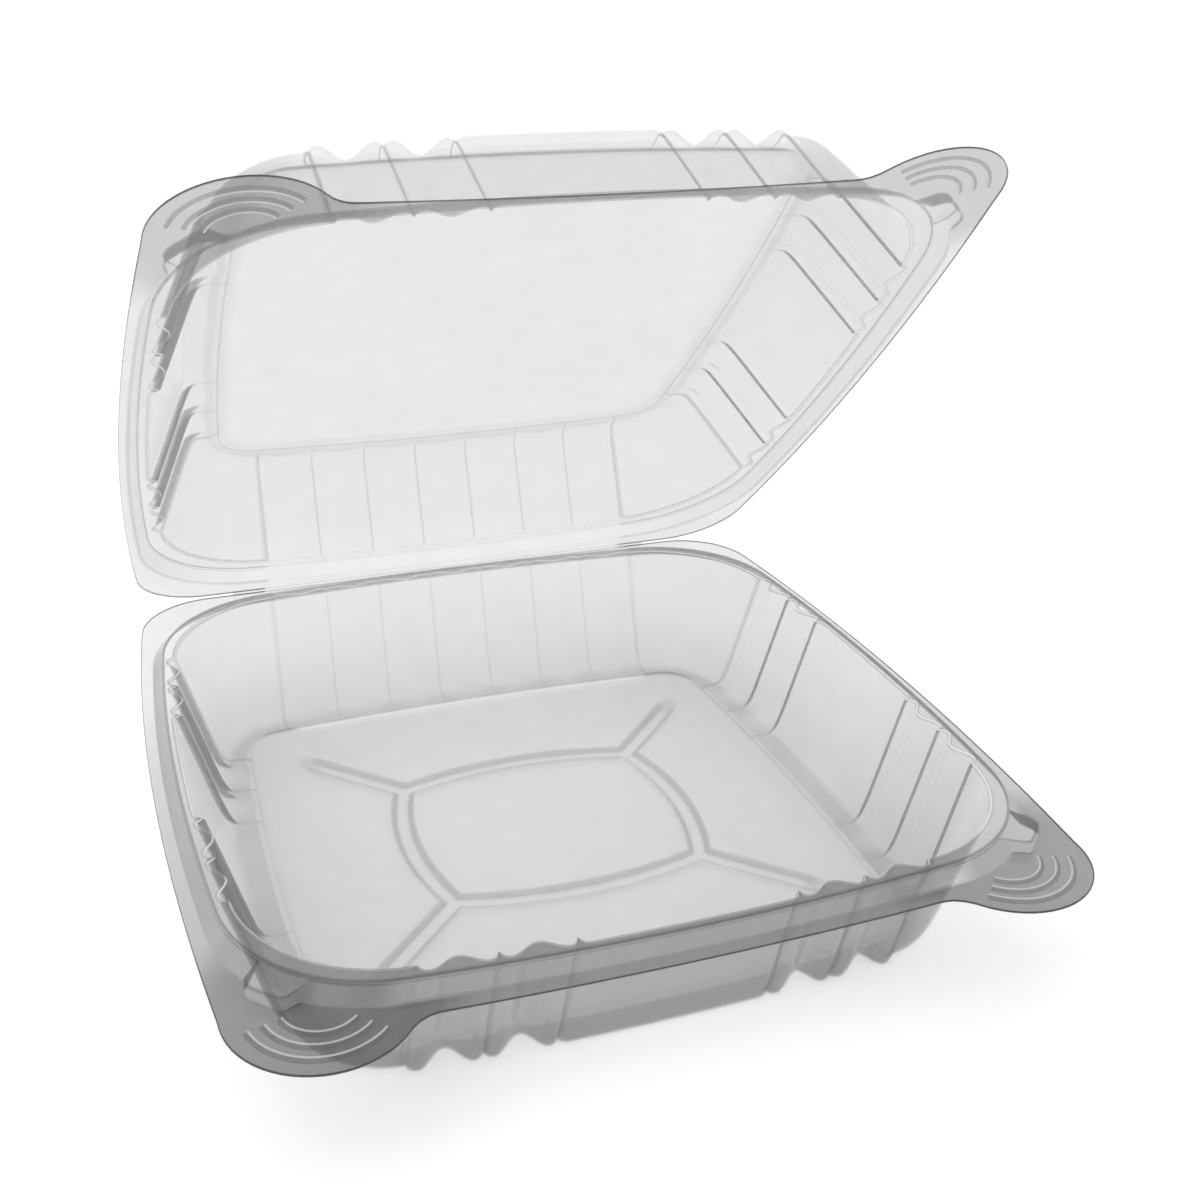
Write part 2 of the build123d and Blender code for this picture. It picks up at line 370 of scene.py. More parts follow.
def flange_outline(reach, rear_y):
    """Outer outline of a half, with its two tabs."""
    tab_x, tab_y = tab_centre(reach)
    side_x = tab_x + TAB_RADIUS
    rear_x = HALF_X - SIDE_BOW * (rear_y / HALF_Y) ** 2
    front_x = tab_x - TAB_RADIUS * math.cos(math.radians(TAB_FRONT_ANGLE))
    front_y = tab_y + TAB_RADIUS * math.sin(math.radians(TAB_FRONT_ANGLE))
    rear = np.linspace((rear_x, rear_y), (-rear_x, rear_y), REAR_POINTS)
    sides = [
        arc_through((-front_x, front_y), (0, -HALF_Y), (front_x, front_y), EDGE_POINTS),
        arc_through((front_x, front_y), (tab_x, tab_y - TAB_RADIUS), (side_x, tab_y), TAB_POINTS),
        arc_through((side_x, tab_y), (HALF_X, 0), (rear_x, rear_y), EDGE_POINTS),
        rear,
        arc_through((-rear_x, rear_y), (-HALF_X, 0), (-side_x, tab_y), EDGE_POINTS),
        arc_through(
            (-side_x, tab_y), (-tab_x, tab_y - TAB_RADIUS), (-front_x, front_y), TAB_POINTS),
    ]
    return closed_outline(sides, (TAB_BLEND, 0, REAR_CORNER, REAR_CORNER, 0, TAB_BLEND))


def lock_outline(side, grow):
    """Round-cornered block set diagonally at a front corner."""
    inset = FLANGE_WIDTH + SIDE_BOW + LOCK_SETBACK
    half_l, half_w = LOCK_LENGTH / 2 + grow, LOCK_WIDTH / 2 + grow
    points = [(-half_l, -half_w), (half_l, -half_w), (half_l, half_w), (-half_l, half_w)]
    sides = [np.linspace(points[k], points[(k + 1) % 4], LOCK_POINTS) for k in range(4)]
    block = closed_outline(sides, (LOCK_CORNER + grow,) * 4)
    spin = math.radians(-45 * side)
    turn = np.array(((math.cos(spin), -math.sin(spin)), (math.sin(spin), math.cos(spin))))
    return block @ turn.T + np.array((side * (HALF_X - inset), inset - HALF_Y))


def outward_ways():
    """Unit directions straight out of the smooth wall, at every place round it."""
    ways = np.zeros((COUNT, 2))
    lean = 2 * SIDE_BOW * RUN / HALF_X ** 2
    for turn in range(4):
        here = (TURN == turn) & ~CORNER
        slope = 2 * SIDE_BOW * PLACE[here] / HALF_X ** 2
        ways[here, 0], ways[here, 1] = turned(turn, slope, -np.ones(here.sum()))
        here = (TURN == turn) & CORNER
        start = math.atan(lean)
        angle = start + (math.pi / 2 - 2 * start) * PLACE[here]
        ways[here, 0], ways[here, 1] = turned(turn, np.sin(angle), -np.cos(angle))
    return ways / np.hypot(*ways.T)[:, None]


BASE = wall_ring(LEDGE_INSET, 0, 0)
OUT = outward_ways()
START = BASE - RAY_START * OUT


def crossings(start, outline):
    """Distances from start along OUT to each edge of an outline, and whether the ray meets it."""
    edge = np.roll(outline, -1, 0) - outline
    gap = outline[None] - start[:, None]
    cross = OUT[:, None, 0] * edge[None, :, 1] - OUT[:, None, 1] * edge[None, :, 0]
    cross = np.where(np.abs(cross) < TINY, TINY, cross)
    t = (gap[..., 0] * edge[None, :, 1] - gap[..., 1] * edge[None, :, 0]) / cross
    u = (gap[..., 0] * OUT[:, None, 1] - gap[..., 1] * OUT[:, None, 0]) / cross
    return t, (u >= -EDGE_SLACK) & (u <= 1 + EDGE_SLACK) & (t > 0)


def reach_near(outline):
    """Distance from START to the first meeting with an outline, for every place."""
    t, met = crossings(START, outline)
    return np.where(met, t, FAR).min(1)


def reach_far(outline):
    """Distance from START to the last meeting with an outline; -1 where the ray misses it."""
    t, met = crossings(START, outline)
    return np.where(met, t, -1).max(1)


def reach_in(outline):
    """Distance from START to an outline that lies inward of it, so below zero."""
    t, met = crossings(START - RAY_DEEP * OUT, outline)
    return np.where(met, t, -1).max(1) - RAY_DEEP


def out_to(distance):
    """Plan points at a distance along the rays."""
    return START + distance[:, None] * OUT


def level(plan, height):
    """Plan points lifted to a height, one number or one a point."""
    return np.column_stack((plan, np.broadcast_to(height, len(plan))))


def swept(rings, radii, splits):
    """Rings along a path through control rings, with rounded bends and divided stretches.

    Also gives each ring's zone: k in bend k, and k - 0.5 on the stretch before it. One more ring
    lies close to the cut edge, so that the painted shade along that edge stays thin.
    """
    path, zones = [rings[0]], [0.5]
    last = rings[0]
    for k in range(1, len(rings)):
        here = rings[k]
        enter = here
        if k < len(rings) - 1:
            before = rings[k - 1] - here
            after = rings[k + 1] - here
            back = np.linalg.norm(before, axis=1, keepdims=True) + TINY
            ahead = np.linalg.norm(after, axis=1, keepdims=True) + TINY
            enter = here + before * np.minimum(radii[k] / back, BEND_REACH)
            leave = here + after * np.minimum(radii[k] / ahead, BEND_REACH)
        if k == 1:
            width = np.linalg.norm(enter - last, axis=1, keepdims=True) + TINY
            path.append(last + (enter - last) * np.minimum(EDGE_SHADE_WIDTH / width, EDGE_REACH))
            zones.append(0.5)
        for step in range(1, splits[k - 1] + 1):
            path.append(last + (enter - last) * step / splits[k - 1])
            zones.append(k - 0.5)
        if k < len(rings) - 1:
            for t in BEND_PLACES:
                path.append((1 - t) ** 2 * enter + 2 * t * (1 - t) * here + t * t * leave)
                zones.append(k)
            path.append(leave)
            zones.append(k + 0.5)
            last = leave
    return path, zones


def smooth(x):
    """Soft step from 0 to 1."""
    x = np.clip(x, 0, 1)
    return x * x * (3 - 2 * x)


def past_barrel(x, y):
    """About how far a point lies outside the groove's bowed ring, in one quarter of the floor."""
    return np.maximum(
        x - RING_HALF_X - RING_BOW * (1 - (y / RING_HALF_Y) ** 2),
        y - RING_HALF_Y - RING_BOW * (1 - (x / RING_HALF_X) ** 2))


def groove_drop(plan):
    """Depth of the floor's groove at plan points."""
    x, y = np.abs(plan[:, 0]), np.abs(plan[:, 1])
    arm = np.array((ARM_HALF_X - RING_HALF_X, ARM_HALF_Y - RING_HALF_Y))
    share = np.clip(((x - RING_HALF_X) * arm[0] + (y - RING_HALF_Y) * arm[1]) / (arm @ arm), 0, 1)
    off = np.hypot(x - RING_HALF_X - share * arm[0], y - RING_HALF_Y - share * arm[1])
    gap = np.minimum(np.abs(past_barrel(x, y)), off)
    return GROOVE_DEPTH * smooth((GROOVE_WIDTH / 2 - gap) / GROOVE_SLOPE)


def panel_rings(edge, height, embossed):
    """Rings from a panel's edge to its centre, with or without the floor's groove."""
    bearing = np.arctan2(edge[:, 1], edge[:, 0])
    c, s = np.abs(np.cos(bearing)), np.abs(np.sin(bearing))
    low, high = np.zeros(COUNT), np.full(COUNT, BARREL_LIMIT)
    for step in range(BARREL_HALVINGS):
        mid = (low + high) / 2
        inside = past_barrel(mid * c, mid * s) < 0
        low, high = np.where(inside, mid, low), np.where(inside, high, mid)
    barrel = np.stack((low * np.cos(bearing), low * np.sin(bearing)), 1)
    unit = barrel / np.hypot(*barrel.T)[:, None]
    rings = []
    if embossed:
        first = barrel + GROOVE_MARGIN * unit
        for t in np.linspace(0, 1, FLOOR_STEPS)[1:]:
            rings.append(edge + (first - edge) * t)
        for d in GROOVE_RINGS:
            rings.append(barrel + d * unit)
        inner = barrel - GROOVE_MARGIN * unit
        for t in FLOOR_SHARES:
            rings.append(inner * t)
    else:
        for t in TOP_SHARES:
            rings.append(edge * t)
    return [level(r, height - (groove_drop(r) if embossed else 0)) for r in rings]


def sheet_frame(grid, centre):
    """Normals of a surface given as rings, and how sharply it bends at every point."""
    around = np.roll(grid, -1, 1) - np.roll(grid, 1, 1)
    padded = np.concatenate((grid[:1], grid, np.broadcast_to(centre, (1, COUNT, 3))))
    across = padded[2:] - padded[:-2]
    normal = np.cross(around, across)
    normal /= np.linalg.norm(normal, axis=2, keepdims=True) + TINIEST
    beyond = np.concatenate((normal[:1], normal, normal[-1:]))
    turn_around = np.linalg.norm(np.roll(normal, -1, 1) - np.roll(normal, 1, 1), axis=2)
    turn_across = np.linalg.norm(beyond[2:] - beyond[:-2], axis=2)
    span_around = np.maximum(np.linalg.norm(around, axis=2), CREASE_LENGTH)
    span_across = np.maximum(np.linalg.norm(across, axis=2), CREASE_LENGTH)
    return normal, np.maximum(turn_around / span_around, turn_across / span_across)


def painted_sheet_light(grid, zones, normal, bend, look, locked, tab):
    """Painted shade at creases, cut edges, notches and zones, and a painted highlight (glint), at
    every point of a surface, as the finish reads them.
    """
    rows = len(grid)
    zone = np.concatenate((zones, np.full(rows - len(zones), PANEL_ZONE)))[:, None]
    rear = (TURN == 2) & ~CORNER
    wall = (zone > LEDGE_BEND) & (zone < FOOT_EDGE)
    riser = (zone >= 1) & (zone < LEDGE_BEND - 1)
    ledge = (zone >= LEDGE_BEND - 1) & (zone <= LEDGE_BEND)
    flange = zone < 1

    # Shares of side wall, front wall and front corner at every place round the pack.
    share = np.where(TURN % 2 == 1, 1 - PLACE, PLACE)
    forward = (TURN == 0) | (TURN == 3)
    aside = np.where(CORNER, share, TURN % 2)
    ahead = np.where(CORNER, (1 - share) * forward, TURN == 0)
    corner = smooth(CORNER_FADE * np.minimum(share, 1 - share))
    corner = np.where(CORNER & forward, corner, 0)

    # Painted shade on whole zones, more so towards the front.
    zone_shade = look["flange"] * flange + look["riser"] * riser + look["wall"] * wall
    zone_shade = zone_shade + look["ledge"] * (aside + ahead) * ledge
    zone_shade = zone_shade * np.clip((SHADE_REAR - grid[..., 1]) / SHADE_LENGTH, WALL_KEEP * wall, 1)
    # Painted shade on the locks, a little lighter on their tops than on their sides, as if lit
    # from above.
    lock = look["lock"] * np.where(zone <= 2, 1, LOCK_TOP)
    zone_shade = zone_shade + np.where(locked, lock, look["side"] * np.maximum(aside, corner)) * riser
    # Painted shade over the pull tabs, fading away from each tab.
    off = np.hypot(np.abs(grid[..., 0]) - tab[0], grid[..., 1] - tab[1])
    zone_shade = zone_shade + look["tab"] * smooth((TAB_FAR - off) / TAB_FADE) * flange
    # Painted shade on the slopes of the central panel and its groove, stronger the steeper they
    # lean.
    lean = np.sqrt(np.clip(1 - normal[..., 2] ** 2, 0, 1))
    slope = SLOPE_SHADE * np.clip(lean / SLOPE_FULL, 0, 1)
    zone_shade = zone_shade + np.where(zone == PANEL_ZONE, slope, 0)
    # Painted shade on a band round the foot edge.
    zone_shade = zone_shade + look["band"] * ((zone >= FOOT_EDGE - 0.5) & (zone <= FOOT_EDGE + 1))

    # Painted shade in lines along bends, between lobes and round the central panel.
    crease = np.clip((bend - CREASE_FROM) / CREASE_SPAN, 0, 1)
    crease = crease * np.where(rear, REAR_LINE, np.where(wall, WALL_LINE, 1))
    crease = crease * np.where(zone >= FOOT_EDGE, PANEL_LINE, 1)
    crease = np.maximum(crease * look["line"], zone_shade)
    # Painted shade in lines down the notches between lobes and where each front corner starts.
    notch_shade = np.where(CORNER, PLACE == 0, NOTCH > NOTCH_LINE_FROM)
    notch_shade = notch_shade * np.where(TURN == 2, look["rear"], look["notch_shade"])
    crease = np.maximum(crease, notch_shade * ((zone > LEDGE_BEND) & (zone < FOOT_EDGE + 1)))
    step = np.flatnonzero(zone[:, 0] == STEP_BEND)[1]
    panel_line = look["panel"] * np.where(TURN == 0, FRONT_PANEL, 1)
    crease[step] = np.maximum(crease[step], panel_line)

    # Zones painted lighter, as painted light, where their strengths are below zero: the walls'
    # fronts and front corners, and the rear fringe by the panel step.
    painted_clearing = look["front"] * ahead + look["corner"] * corner
    crease = crease + painted_clearing * (wall & (notch_shade == 0))
    fringe = (zone >= STEP_BEND) & (zone < PANEL_ZONE) & rear
    crease = np.where(fringe, crease + look["fringe"], crease)

    # Painted shade along the cut edge, except at the rear.
    edge_shade = np.zeros((rows, COUNT))
    edge_shade[0] = ~rear
    # Painted highlight along the middle of the ledge's inner bend.
    glint = np.zeros((rows, COUNT))
    glint[np.flatnonzero(zone[:, 0] == LEDGE_BEND)[1]] = 1
    return {"crease": crease, "cut_edge": edge_shade, "glint": glint}


def sheet_faces(rows, up):
    """Faces of both sides of a sheet of rings, its cut edge and the fans at its centre."""
    k, i = np.meshgrid(np.arange(rows - 1), np.arange(COUNT), indexing="ij")
    j = (i + 1) % COUNT
    low, high = k * COUNT, (k + 1) * COUNT
    quads = np.stack((low + i, low + j, high + j, high + i), -1).reshape(-1, 4)
    shift = rows * COUNT
    ends = np.arange(COUNT)
    nexts = (ends + 1) % COUNT
    last = (rows - 1) * COUNT
    edge = np.stack((ends, nexts, nexts + shift, ends + shift), -1)
    pole_a = np.stack((last + ends, last + nexts, np.full(COUNT, 2 * shift)), -1)
    pole_b = np.stack((last + ends, last + nexts, np.full(COUNT, shift + 1)), -1) + shift
    if up:
        parts = (quads[:, ::-1], quads + shift, edge, pole_a[:, ::-1], pole_b)
    else:
        parts = (quads, quads[:, ::-1] + shift, edge[:, ::-1], pole_a, pole_b[:, ::-1])
    return [face for part in parts for face in part.tolist()]


def shell_mesh(rings, zones, centre, up, look, locked, tab):
    """Closed sheet: the given surface, the same moved by the sheet's thickness, and the cut edge.

    With up the given surface faces down and out and the other lies on its inner side.
    """
    grid = np.array(rings)
    normal, bend = sheet_frame(grid, centre)
    side = SHEET if up else -SHEET
    other = grid + side * normal
    centres = np.array((centre, centre)) + np.array(((0, 0, 0), (0, 0, side)))
    points = np.concatenate((grid.reshape(-1, 3), other.reshape(-1, 3), centres))
    painted_light = painted_sheet_light(grid, zones, normal, bend, look, locked, tab)
    for label, values in painted_light.items():
        painted_light[label] = np.concatenate((values.reshape(-1), values.reshape(-1), (0, 0)))
    return points, sheet_faces(len(grid), up), painted_light


def half_rings(sign, flange_z, grow, reach, rear_y, foot_z):
    """Control rings of one half from its cut edge to the edge of its central panel.

    sign is -1 for the tray, whose wall goes down, and +1 for the lid, whose wall goes up.
    """
    inner = SHEET if sign < 0 else 0
    inset = FLANGE_WIDTH - grow + inner
    ledge = flange_z + LEDGE_RISE
    edge = reach_near(flange_outline(reach, rear_y))
    low = reach_near(bowed_outline(inset, SIDE_BOW, RISER_CORNER))
    high = reach_near(bowed_outline(inset + RISER_LEAN, SIDE_BOW, RISER_CORNER))
    spare = LOCK_SPARE if sign < 0 else 0
    blocks = [lock_outline(side, grow - inner - spare) for side in (-1, 1)]
    locks = np.maximum(*(reach_far(block) for block in blocks))
    lock_low = np.maximum(low, locks)
    lock_high = np.maximum(high, locks)
    lift = -sign * SCALLOP
    rings = [
        level(out_to(edge), flange_z),
        level(out_to(lock_low), flange_z),
        level(out_to(lock_high), ledge - LOCK_DROP),
        level(out_to(high), ledge - LOCK_DROP + LOCK_SLOPE),
        level(out_to(high), ledge),
        level(wall_ring(LEDGE_INSET, *LEDGE_WAVE), ledge),
        level(wall_ring(KNEE_INSET, *KNEE_WAVE), foot_z - sign * KNEE_HEIGHT),
        level(wall_ring(FOOT_INSET, *FOOT_WAVE), foot_z + lift * FOOT_LIFT),
        level(wall_ring(FADE_INSET, *FADE_WAVE), foot_z + lift * FADE_LIFT),
    ]
    return rings, locks > high


def panel_edges(foot_z):
    """The two rings of the step round the central panel."""
    low = reach_in(bowed_outline(PANEL_INSET, PANEL_BOW, PANEL_CORNER))
    high = reach_in(bowed_outline(PANEL_INSET + PANEL_LEAN, PANEL_BOW, PANEL_CORNER))
    return level(out_to(low), foot_z), level(out_to(high), foot_z + PANEL_STEP)


def make_half(sign, flange_z, grow, reach, rear_y, foot_z, embossed):
    """Fine sheet mesh of one half, in mm, as points, faces and painted shade and highlight."""
    rings, locked = half_rings(sign, flange_z, grow, reach, rear_y, foot_z)
    low, high = panel_edges(foot_z)
    path, zones = swept([*rings, low, high], BEND_RADII, STRETCH_SPLITS)
    path += panel_rings(high[:, :2], foot_z + PANEL_STEP, embossed)
    centre = (0, 0, foot_z + PANEL_STEP)
    look = TRAY_LOOK if sign < 0 else LID_LOOK
    return shell_mesh(path, zones, centre, sign < 0, look, locked, tab_centre(reach))


def as_object(name, points, faces, painted_light):
    """Mesh object in metres with smooth shading and its painted shade and highlight as attributes.
    """
    mesh = bpy.data.meshes.new(name)
    mesh.from_pydata((points * MM).tolist(), [], faces)
    mesh.update()
    for label, values in painted_light.items():
        layer = mesh.attributes.new(label, "FLOAT", "POINT")
        layer.data.foreach_set("value", values.astype(np.float32))
    mesh.shade_smooth()
    obj = bpy.data.objects.new(name, mesh)
    bpy.context.scene.collection.objects.link(obj)
    return obj


def opened(points):
    """Points of the closed lid turned to the open place about the hinge."""
    spin = math.radians(-LID_OPEN)
    y, z = points[:, 1] - HINGE_Y, points[:, 2] - HINGE_Z
    moved = points.copy()
    moved[:, 1] = HINGE_Y + y * math.cos(spin) - z * math.sin(spin)
    moved[:, 2] = HINGE_Z + y * math.sin(spin) + z * math.cos(spin)
    return moved


# Finish of the sheet: colours, opacity face on and edge on, and what its painted shade and painted
# highlight add to them.
CLEAR_GREY = (0.25, 0.255, 0.255)
# The grey of the painted shade in creases and at cut edges, and the white of the painted
# highlight.
SHADE_GREY = (0.04, 0.04, 0.04)
GLINT_WHITE = (1.0, 1.0, 1.0)
FACE_ALPHA = 0.19
EDGE_ON_ALPHA = 0.1
EDGE_ON_POWER = 3.0
# How strongly the painted shade and the painted highlight show.
SHADE_DARKNESS = 0.9
SHADE_ALPHA = 0.4
EDGE_SHADE_ALPHA = 0.6
GLINT_ALPHA = 0.2
MOTTLE_SCALE = 120.0
MOTTLE_ALPHA = 0.025
LEAST_ROUGH = 0.12
MOTTLE_ROUGH = 0.08
PLASTIC_IOR = 1.5


class Shade:
    """A shader socket with operators, so that a formula reads as one."""

    def __init__(self, tree, socket):
        self.tree = tree
        self.socket = socket

    def node(self, kind, output=0, inputs=(), **settings):
        """New node with settings and inputs, given as (name or index, value or Shade)."""
        made = self.tree.nodes.new(kind)
        for key, value in settings.items():
            setattr(made, key, value)
        for key, value in inputs:
            if isinstance(value, Shade):
                self.tree.links.new(value.socket, made.inputs[key])
            else:
                made.inputs[key].default_value = value
        return Shade(self.tree, made.outputs[output])

    def math(self, operation, first, second=0.0, clamp=False):
        values = ((0, first), (1, second))
        return self.node("ShaderNodeMath", 0, values, operation=operation, use_clamp=clamp)

    def __add__(self, other):
        return self.math("ADD", self, other)

    def __radd__(self, other):
        return self.math("ADD", other, self)

    def __sub__(self, other):
        return self.math("SUBTRACT", self, other)

    def __mul__(self, other):
        return self.math("MULTIPLY", self, other)

    def __pow__(self, other):
        return self.math("POWER", self, other)

    def clamp(self):
        return self.math("ADD", self, 0.0, True)

    def mix(self, low, high):
        """Colour between two as this goes from 0 to 1."""
        ends = [end if isinstance(end, Shade) else (*end, 1) for end in (low, high)]
        values = ((0, self), (6, ends[0]), (7, ends[1]))
        return self.node("ShaderNodeMix", 2, values, data_type="RGBA")


def clear_plastic():
    """Clear sheet: see-through face on, greyer edge on, with painted shade in creases and at cut
    edges, and a painted highlight where glint is set.
    """
    material = bpy.data.materials.new("clear_sheet")
    material.use_nodes = True
    tree = material.node_tree
    shader = tree.nodes["Principled BSDF"]
    coords = tree.nodes.new("ShaderNodeTexCoord")
    place = Shade(tree, coords.outputs["Object"])
    facing = place.node("ShaderNodeLayerWeight", "Facing", (("Blend", 0.5),))
    crease = place.node("ShaderNodeAttribute", "Fac", attribute_name="crease")
    edge_shade = place.node("ShaderNodeAttribute", "Fac", attribute_name="cut_edge")
    glint = place.node("ShaderNodeAttribute", "Fac", attribute_name="glint")
    mottle = place.node("ShaderNodeTexNoise", "Fac", (
        ("Vector", place), ("Scale", MOTTLE_SCALE), ("Detail", 1.0)))
    dark = (crease * SHADE_DARKNESS + edge_shade * SHADE_DARKNESS - glint).clamp()
    colour = glint.mix(dark.mix(CLEAR_GREY, SHADE_GREY), GLINT_WHITE)
    line = crease * SHADE_ALPHA + edge_shade * EDGE_SHADE_ALPHA + glint * GLINT_ALPHA
    sheet = FACE_ALPHA + facing ** EDGE_ON_POWER * EDGE_ON_ALPHA
    alpha = (sheet + line + (mottle - 0.5) * MOTTLE_ALPHA).clamp()
    rough = LEAST_ROUGH + mottle * MOTTLE_ROUGH
    tree.links.new(colour.socket, shader.inputs["Base Color"])
    tree.links.new(alpha.socket, shader.inputs["Alpha"])
    tree.links.new(rough.socket, shader.inputs["Roughness"])
    shader.inputs["IOR"].default_value = PLASTIC_IOR
    return material


def bar_group(name):
    """Geometry nodes that turn curves into bars of oval section, with named sizes and material."""
    group = bpy.data.node_groups.new(name, "GeometryNodeTree")
    face = group.interface
    face.new_socket("Geometry", in_out="INPUT", socket_type="NodeSocketGeometry")
    face.new_socket("Half Width", in_out="INPUT", socket_type="NodeSocketFloat")
    face.new_socket("Flatness", in_out="INPUT", socket_type="NodeSocketVector")
    face.new_socket("Finish", in_out="INPUT", socket_type="NodeSocketMaterial")
    face.new_socket("Geometry", in_out="OUTPUT", socket_type="NodeSocketGeometry")
    nodes, links = group.nodes, group.links
    entry = nodes.new("NodeGroupInput")
    leave = nodes.new("NodeGroupOutput")
    circle = nodes.new("GeometryNodeCurvePrimitiveCircle")
    circle.inputs["Resolution"].default_value = BAR_SIDES
    oval = nodes.new("GeometryNodeTransform")
    sweep = nodes.new("GeometryNodeCurveToMesh")
    sweep.inputs["Fill Caps"].default_value = True
    real = nodes.new("GeometryNodeRealizeInstances")
    finish = nodes.new("GeometryNodeSetMaterial")
    links.new(entry.outputs["Geometry"], sweep.inputs["Curve"])
    links.new(entry.outputs["Half Width"], circle.inputs["Radius"])
    links.new(circle.outputs["Curve"], oval.inputs["Geometry"])
    links.new(entry.outputs["Flatness"], oval.inputs["Scale"])
    links.new(oval.outputs["Geometry"], sweep.inputs["Profile Curve"])
    links.new(sweep.outputs["Mesh"], real.inputs["Geometry"])
    links.new(real.outputs["Geometry"], finish.inputs["Geometry"])
    links.new(entry.outputs["Finish"], finish.inputs["Material"])
    links.new(finish.outputs["Geometry"], leave.inputs["Geometry"])
    return group


def bars(name, paths, half_width, half_height, material, painted_light, turn=False):
    """Plain mesh of oval bars along level paths given in mm, turned with the lid if asked.

    A path of many points gets thin ends.
    """
    curve = bpy.data.curves.new(name + "_paths", "CURVE")
    curve.dimensions = "3D"
    curve.twist_mode = "Z_UP"
    for path in paths:
        spline = curve.splines.new("POLY")
        spline.points.add(len(path) - 1)
        for k, (point, place) in enumerate(zip(spline.points, path)):
            point.co = (*(np.array(place) * MM), 1)
            if len(path) > 2 * RIDGE_TAPER:
                from_end = min(k, len(path) - 1 - k)
                point.radius = min(1, TIP_RADIUS + from_end / RIDGE_TAPER)
    source = bpy.data.objects.new(name + "_source", curve)
    bpy.context.scene.collection.objects.link(source)
    group = bar_group(name + "_bars")
    modifier = source.modifiers.new("bars", "NODES")
    modifier.node_group = group
    values = {
        "Half Width": half_width * MM,
        "Flatness": (1.0, half_height / half_width, 1.0),
        "Finish": material,
    }
    for item in group.interface.items_tree:
        if item.in_out == "INPUT" and item.name in values:
            modifier[item.identifier] = values[item.name]
    graph = bpy.context.evaluated_depsgraph_get()
    mesh = bpy.data.meshes.new_from_object(source.evaluated_get(graph))
    bpy.data.objects.remove(source)
    mesh.name = name
    if turn:
        points = np.zeros(3 * len(mesh.vertices), np.float32)
        mesh.vertices.foreach_get("co", points)
        points = opened(points.reshape(-1, 3) / MM) * MM
        mesh.vertices.foreach_set("co", points.reshape(-1).astype(np.float32))
        mesh.update()
    for label, value in painted_light.items():
        layer = mesh.attributes.new(label, "FLOAT", "POINT")
        layer.data.foreach_set("value", np.full(len(mesh.vertices), value, np.float32))
    mesh.shade_smooth()
    obj = bpy.data.objects.new(name, mesh)
    bpy.context.scene.collection.objects.link(obj)
    return obj


def ridge_paths(reach, height, offset):
    """Grip arcs on both tabs of a half, at an offset from the middle of each ridge."""
    tab_x, tab_y = tab_centre(reach)
    paths = []
    for side in (-1, 1):
        for middle in RIDGE_RADII:
            radius = middle + offset
            path = []
            for step in range(RIDGE_STEPS + 1):
                angle = math.radians(RIDGE_LEAD - RIDGE_SWEEP * step / RIDGE_STEPS)
                x = side * (tab_x + radius * math.sin(angle))
                path.append((x, tab_y - radius * math.cos(angle), height))
            paths.append(path)
    return paths


# Painted shade on the grip ridges, and a painted highlight on the thin bars beside them.
GRIP_SHADE = {"crease": 0.1}
GRIP_GLINT = {"glint": 0.9}
BEAD_POINTS = 9

plastic = clear_plastic()

tray_data = make_half(
    sign=-1, flange_z=TRAY_HEIGHT, grow=0, reach=0, rear_y=HINGE_Y, foot_z=0, embossed=True)
tray = as_object("tray_sheet", *tray_data)

lid_data = make_half(
    sign=1, flange_z=LID_Z + SHEET, grow=LID_GROW, reach=LID_TAB_REACH,
    rear_y=HINGE_Y - BEAD_RADIUS - BEAD_GAP, foot_z=LID_Z + LID_HEIGHT, embossed=False)
lid = as_object("lid_sheet", opened(lid_data[0]), *lid_data[1:])

for piece in (tray, lid):
    piece.data.materials.append(plastic)

tray_arcs = ridge_paths(0, TRAY_HEIGHT - RIDGE_HEIGHT + RIDGE_HALF, 0)
tray_ridges = bars("tray_grips", tray_arcs, RIDGE_BAR, RIDGE_HALF, plastic, GRIP_SHADE)
# Thin bars just above the sheet beside each ridge, carrying a painted highlight line.
tray_arcs = ridge_paths(0, TRAY_HEIGHT + SHEET, GLINT_OFFSET)
tray_glint_bars = bars("tray_grip_glints", tray_arcs, GLINT_BAR, GLINT_HALF, plastic, GRIP_GLINT)
lid_arcs = ridge_paths(LID_TAB_REACH, LID_Z + SHEET + RIDGE_HEIGHT - RIDGE_HALF, 0)
lid_ridges = bars("lid_grips", lid_arcs, RIDGE_BAR, RIDGE_HALF, plastic, GRIP_SHADE, turn=True)
lid_arcs = ridge_paths(LID_TAB_REACH, LID_Z, GLINT_OFFSET)
lid_glint_bars = bars(
    "lid_grip_glints", lid_arcs, GLINT_BAR, GLINT_HALF, plastic, GRIP_GLINT, turn=True)
bead_line = [(x, HINGE_Y, HINGE_Z) for x in np.linspace(-HINGE_HALF, HINGE_HALF, BEAD_POINTS)]
bead = bars("hinge_bead", [bead_line], BEAD_RADIUS, BEAD_RADIUS, plastic, {})

for piece in (tray, tray_ridges, tray_glint_bars, bead):
    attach(piece, "tray")
for piece in (lid, lid_ridges, lid_glint_bars):
    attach(piece, "lid")
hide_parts("base_tray")
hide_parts("lid")

# Floor, light and camera, in metres.
FLOOR_HALF = 9
FLOOR_Z = -0.0002
FLOOR_WHITE = (0.97, 0.97, 0.97, 1)
